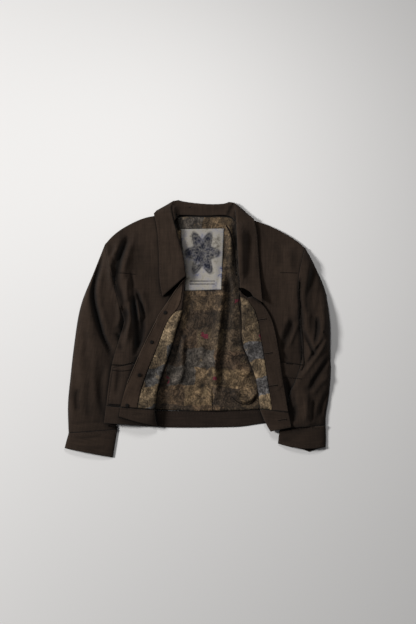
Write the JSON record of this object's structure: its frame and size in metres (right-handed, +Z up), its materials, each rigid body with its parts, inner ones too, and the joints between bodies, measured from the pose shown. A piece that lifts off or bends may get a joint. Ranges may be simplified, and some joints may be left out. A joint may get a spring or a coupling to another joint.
{
  "type": "cropped work jacket",
  "caption": "Short boxy work jacket laid flat and open, both fronts turned back over a patchwork lining, with collar, patch pockets, cuffs and a waistband.",
  "frame": {"origin": "centre of the base of the bounding box, on the surface the jacket lies on", "axes": "+Z up out of that surface, +Y from the hem to the collar, +X to the right of the jacket seen from above"},
  "size_m": [0.719, 0.6952, 0.0374],
  "materials": {
    "wool": "matt dark brown slubby weave",
    "lining": "matt worn patchwork in olive, khaki, brown and slate",
    "label_cloth": "matt off-white cotton with a blue ink stamp",
    "button": "dull black"
  },
  "bodies": {
    "root": {"back": "wool", "back_waistband": "wool", "front_left": "wool", "front_right": "wool", "waistband_left": "wool", "waistband_right": "wool", "facing_left": "wool", "facing_right": "wool", "pocket_left": "wool", "pocket_right": "wool", "collar": "wool", "sleeve_left": "wool", "sleeve_right": "wool", "cuff_left": "wool", "cuff_right": "wool", "back_lining": "lining", "front_lining_left": "lining", "front_lining_right": "lining", "label": "label_cloth", "button_left_1": "button", "button_left_2": "button", "button_left_3": "button", "button_left_4": "button"}
  },
  "joints": []
}
